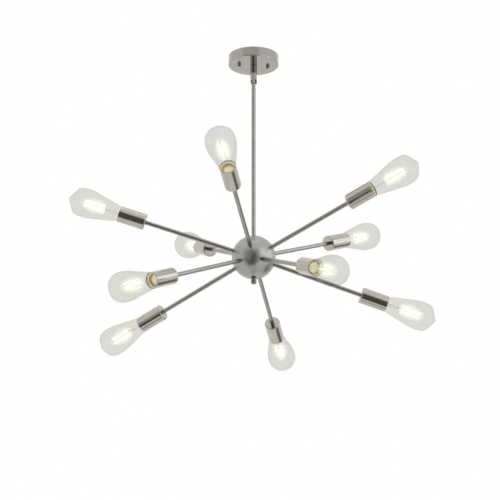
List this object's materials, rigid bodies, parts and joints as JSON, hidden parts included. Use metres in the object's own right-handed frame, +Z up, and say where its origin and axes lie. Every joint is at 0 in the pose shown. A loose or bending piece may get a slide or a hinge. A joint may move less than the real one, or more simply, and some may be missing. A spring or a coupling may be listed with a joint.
{
  "type": "ball-hub chandelier",
  "caption": "Ceiling chandelier: a ball hub on a swivelling rod carries straight arms that end in metal socket cups with clear pear-shaped filament bulbs.",
  "frame": {"origin": "middle of the ceiling face, midway between the crossbar's two outlet-box slots", "axes": "+Z up towards the ceiling, +X along the crossbar"},
  "size_m": [0.8057, 0.7642, 0.6532],
  "materials": {
    "satin_nickel": "satin nickel plate",
    "polished_nickel": "polished nickel plate",
    "zinc_steel": "zinc plate",
    "ground_green": "green grounding screw",
    "porcelain": "cream glazed porcelain",
    "brass": "bare sheet brass",
    "clear_glass": "clear glass",
    "bulb_cap_metal": "brass-coloured screw cap, with the bulb's glass stem and filaments in the same node"
  },
  "bodies": {
    "ceiling_mount": {"canopy": "satin_nickel", "crossbar": "zinc_steel", "canopy_studs": "zinc_steel", "stud_nuts": "zinc_steel", "cap_nuts": "polished_nickel", "ground_screw": "ground_green", "swivel_nipple": "zinc_steel", "canopy_nut": "zinc_steel"},
    "swivel": {"swivel_sleeve": "polished_nickel", "swivel_pin": "polished_nickel"},
    "chandelier": {"swivel_knuckle": "polished_nickel", "down_rod": "satin_nickel", "rod_collar": "polished_nickel", "hub_upper_shell": "satin_nickel", "hub_lower_shell": "satin_nickel", "hub_stem": "zinc_steel", "finial": "polished_nickel", "arm_nuts": "zinc_steel", "lampholders": "porcelain", "lampholder_contacts": "brass", "arm_1": "satin_nickel", "socket_cup_1": "polished_nickel", "arm_2": "satin_nickel", "socket_cup_2": "polished_nickel", "arm_3": "satin_nickel", "socket_cup_3": "polished_nickel", "arm_4": "satin_nickel", "socket_cup_4": "polished_nickel", "arm_5": "satin_nickel", "socket_cup_5": "polished_nickel", "arm_6": "satin_nickel", "socket_cup_6": "polished_nickel", "arm_7": "satin_nickel", "socket_cup_7": "polished_nickel", "arm_8": "satin_nickel", "socket_cup_8": "polished_nickel", "arm_9": "satin_nickel", "socket_cup_9": "polished_nickel", "arm_10": "satin_nickel", "socket_cup_10": "polished_nickel"},
    "bulb_1": {"bulb_glass_1": "clear_glass", "bulb_base_1": "bulb_cap_metal"},
    "bulb_2": {"bulb_glass_2": "clear_glass", "bulb_base_2": "bulb_cap_metal"},
    "bulb_3": {"bulb_glass_3": "clear_glass", "bulb_base_3": "bulb_cap_metal"},
    "bulb_4": {"bulb_glass_4": "clear_glass", "bulb_base_4": "bulb_cap_metal"},
    "bulb_5": {"bulb_glass_5": "clear_glass", "bulb_base_5": "bulb_cap_metal"},
    "bulb_6": {"bulb_glass_6": "clear_glass", "bulb_base_6": "bulb_cap_metal"},
    "bulb_7": {"bulb_glass_7": "clear_glass", "bulb_base_7": "bulb_cap_metal"},
    "bulb_8": {"bulb_glass_8": "clear_glass", "bulb_base_8": "bulb_cap_metal"},
    "bulb_9": {"bulb_glass_9": "clear_glass", "bulb_base_9": "bulb_cap_metal"},
    "bulb_10": {"bulb_glass_10": "clear_glass", "bulb_base_10": "bulb_cap_metal"}
  },
  "joints": [
    {"name": "swivel_turn", "type": "hinge", "parent": "ceiling_mount", "child": "swivel", "pos_m": [0, 0, -0.0623], "axis": [0, 0, 1], "range_deg": [-180, 180]},
    {"name": "swivel_tilt", "type": "hinge", "parent": "swivel", "child": "chandelier", "pos_m": [0, 0, -0.062], "axis": [-0.7373, -0.6756, 0], "range_deg": [-30, 30]},
    {"name": "bulb_1_unscrew", "type": "slide", "parent": "chandelier", "child": "bulb_1", "axis": [-0.3214, -0.883, 0.342], "range_m": [0, 0.04]},
    {"name": "bulb_2_unscrew", "type": "slide", "parent": "chandelier", "child": "bulb_2", "axis": [0.7357, -0.5748, 0.3584], "range_m": [0, 0.04]},
    {"name": "bulb_3_unscrew", "type": "slide", "parent": "chandelier", "child": "bulb_3", "axis": [0.7815, 0.5271, 0.3338], "range_m": [0, 0.04]},
    {"name": "bulb_4_unscrew", "type": "slide", "parent": "chandelier", "child": "bulb_4", "axis": [-0.259, 0.9033, 0.342], "range_m": [0, 0.04]},
    {"name": "bulb_5_unscrew", "type": "slide", "parent": "chandelier", "child": "bulb_5", "axis": [-0.9582, 0.0335, 0.284], "range_m": [0, 0.04]},
    {"name": "bulb_6_unscrew", "type": "slide", "parent": "chandelier", "child": "bulb_6", "axis": [0.3204, 0.8802, -0.3502], "range_m": [0, 0.04]},
    {"name": "bulb_7_unscrew", "type": "slide", "parent": "chandelier", "child": "bulb_7", "axis": [-0.7306, 0.5708, -0.3746], "range_m": [0, 0.04]},
    {"name": "bulb_8_unscrew", "type": "slide", "parent": "chandelier", "child": "bulb_8", "axis": [-0.774, -0.5221, -0.3584], "range_m": [0, 0.04]},
    {"name": "bulb_9_unscrew", "type": "slide", "parent": "chandelier", "child": "bulb_9", "axis": [0.2598, -0.9061, -0.3338], "range_m": [0, 0.04]},
    {"name": "bulb_10_unscrew", "type": "slide", "parent": "chandelier", "child": "bulb_10", "axis": [0.9505, -0.0332, -0.309], "range_m": [0, 0.04]}
  ]
}
